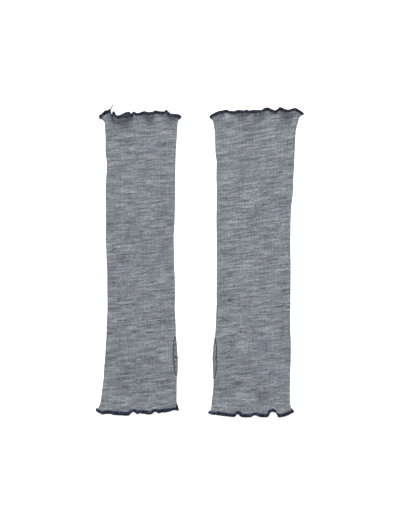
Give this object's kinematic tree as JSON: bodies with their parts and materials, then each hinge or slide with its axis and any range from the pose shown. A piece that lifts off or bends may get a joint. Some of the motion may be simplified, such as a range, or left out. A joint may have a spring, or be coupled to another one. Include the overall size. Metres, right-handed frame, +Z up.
{
  "type": "wrist warmers",
  "caption": "Long fine rib-knit wrist warmers laid flat side by side: open tubes with a thumb slit in the side seam and fluted overlocked edges.",
  "frame": {"origin": "middle of the pair's footprint, on the surface that both warmers lie on", "axes": "+Y runs from the hand ends to the forearm ends, +X across the pair from the left warmer to the right one as seen from above, +Z up"},
  "size_m": [0.2392, 0.3558, 0.0079],
  "materials": {
    "knit": "matte grey heather fine rib knit",
    "overlock": "navy overlock thread, slight sheen",
    "turned_hem": "matte brownish-grey turned knit"
  },
  "bodies": {
    "root": {"left_body": "knit", "left_hand_edge": "overlock", "left_arm_edge": "overlock", "left_thumb_hem_front": "turned_hem", "left_thumb_hem_back": "turned_hem", "right_body": "knit", "right_hand_edge": "overlock", "right_arm_edge": "overlock", "right_thumb_hem_front": "turned_hem", "right_thumb_hem_back": "turned_hem"}
  },
  "joints": []
}
